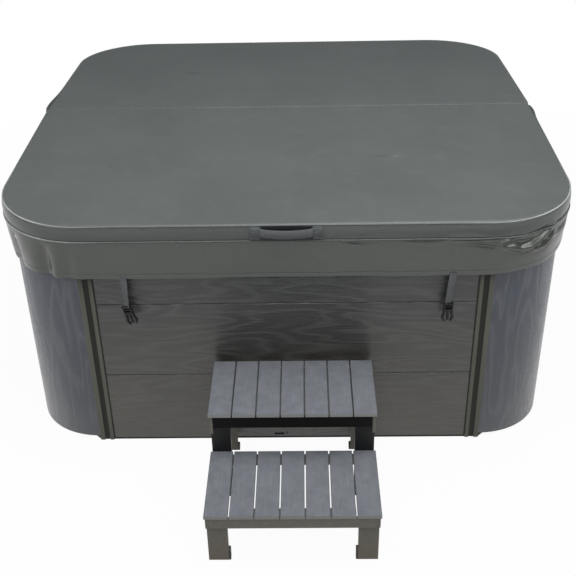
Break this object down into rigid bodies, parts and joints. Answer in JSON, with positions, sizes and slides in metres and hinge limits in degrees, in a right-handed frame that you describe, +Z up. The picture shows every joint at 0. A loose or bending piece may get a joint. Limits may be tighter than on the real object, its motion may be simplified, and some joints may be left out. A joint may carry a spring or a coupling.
{
  "type": "hot tub",
  "caption": "Square hot tub with a panelled cabinet, moulded seats, a folding insulated cover with hanging lock straps, and matching slatted steps.",
  "frame": {"origin": "on the floor, under the middle of the cabinet's base tray", "axes": "+Z up, +Y towards the back of the tub, +X to the right seen from the front; the steps stand on the -Y side"},
  "size_m": [2.1094, 2.7785, 0.9902],
  "materials": {
    "vinyl": "grey marine vinyl over foam, satin",
    "webbing": "woven grey webbing",
    "clip_plastic": "black moulded plastic",
    "cabinet_board": "dark grey-brown board with horizontal wood grain",
    "corner_board": "dark blue-grey board with vertical wood grain",
    "trim": "olive grey extruded plastic",
    "step_slat": "cool grey composite board",
    "step_frame": "warm grey composite board",
    "dark_step_frame": "near black composite board",
    "acrylic": "polished pale grey acrylic",
    "pillow_foam": "dark moulded foam",
    "tray_plastic": "black moulded plastic",
    "frame_steel": "galvanised square tube",
    "fitting_plastic": "grey moulded plastic",
    "pump_paint": "black paint",
    "pipe_plastic": "white plastic pipe"
  },
  "bodies": {
    "tub": {"base_tray": "tray_plastic", "frame": "frame_steel", "tub_shell": "acrylic", "front_panel": "cabinet_board", "right_panel": "cabinet_board", "rear_panel": "cabinet_board", "left_panel": "cabinet_board", "corner_panel_rear_right": "corner_board", "corner_panel_rear_left": "corner_board", "corner_panel_front_left": "corner_board", "corner_panel_front_right": "corner_board", "trim_front_a": "trim", "trim_front_b": "trim", "trim_right_a": "trim", "trim_right_b": "trim", "trim_rear_a": "trim", "trim_rear_b": "trim", "trim_left_a": "trim", "trim_left_b": "trim", "filter_grille": "fitting_plastic", "pillow_lounger": "pillow_foam", "pillow_rear_corner": "pillow_foam", "pillow_front_corner": "pillow_foam", "control_display": "fitting_plastic", "jet_pump": "pump_paint", "suction_pipe": "pipe_plastic", "control_box": "tray_plastic"},
    "diverter": {"diverter_knob": "fitting_plastic"},
    "air_control": {"air_knob": "fitting_plastic"},
    "rear_half": {"cover_rear": "vinyl"},
    "front_half": {"cover_front": "vinyl", "cover_handle": "webbing"},
    "steps": {"lower_slat_1": "step_slat", "lower_slat_2": "step_slat", "lower_slat_3": "step_slat", "lower_slat_4": "step_slat", "lower_slat_5": "step_slat", "lower_slat_6": "step_slat", "lower_slat_7": "step_slat", "upper_slat_1": "step_slat", "upper_slat_2": "step_slat", "upper_slat_3": "step_slat", "upper_slat_4": "step_slat", "upper_slat_5": "step_slat", "upper_slat_6": "step_slat", "upper_slat_7": "step_slat", "step_side_left": "step_frame", "step_side_right": "step_frame", "lower_front_apron": "step_frame", "upper_front_apron": "dark_step_frame", "lower_rear_rail": "step_frame", "upper_rear_rail": "step_frame"},
    "lock_strap_front_left": {"strap_front_left": "webbing", "clip_front_left": "clip_plastic"},
    "lock_strap_front_right": {"strap_front_right": "webbing", "clip_front_right": "clip_plastic"},
    "lock_strap_rear_left": {"strap_rear_left": "webbing", "clip_rear_left": "clip_plastic"},
    "lock_strap_rear_right": {"strap_rear_right": "webbing", "clip_rear_right": "clip_plastic"}
  },
  "joints": [
    {"name": "cover_lift", "type": "slide", "parent": "tub", "child": "rear_half", "axis": [0, 0, 1], "range_m": [0, 0.45]},
    {"name": "cover_fold", "type": "hinge", "parent": "rear_half", "child": "front_half", "pos_m": [0, 0, 0.9913], "axis": [-1, 0, 0], "range_deg": [0, 182]},
    {"name": "steps_away", "type": "slide", "parent": "tub", "child": "steps", "axis": [0, -1, 0], "range_m": [0, 0.5]},
    {"name": "diverter_turn", "type": "hinge", "parent": "tub", "child": "diverter", "pos_m": [0.88, 0.2884, 0.8673], "axis": [0, 0, 1], "range_deg": [-90, 90]},
    {"name": "air_turn", "type": "hinge", "parent": "tub", "child": "air_control", "pos_m": [0.88, -0.2403, 0.8673], "axis": [0, 0, 1], "range_deg": [0, 180]},
    {"name": "strap_swing_front_left", "type": "hinge", "parent": "front_half", "child": "lock_strap_front_left", "pos_m": [-0.574, -1.0717, 0.7473], "axis": [-1, 0, 0], "range_deg": [0, 85]},
    {"name": "strap_swing_front_right", "type": "hinge", "parent": "front_half", "child": "lock_strap_front_right", "pos_m": [0.59, -1.0717, 0.7473], "axis": [-1, 0, 0], "range_deg": [0, 85]},
    {"name": "strap_swing_rear_left", "type": "hinge", "parent": "rear_half", "child": "lock_strap_rear_left", "pos_m": [-0.59, 1.0717, 0.7473], "axis": [1, 0, 0], "range_deg": [0, 85]},
    {"name": "strap_swing_rear_right", "type": "hinge", "parent": "rear_half", "child": "lock_strap_rear_right", "pos_m": [0.574, 1.0717, 0.7473], "axis": [1, 0, 0], "range_deg": [0, 85]}
  ]
}
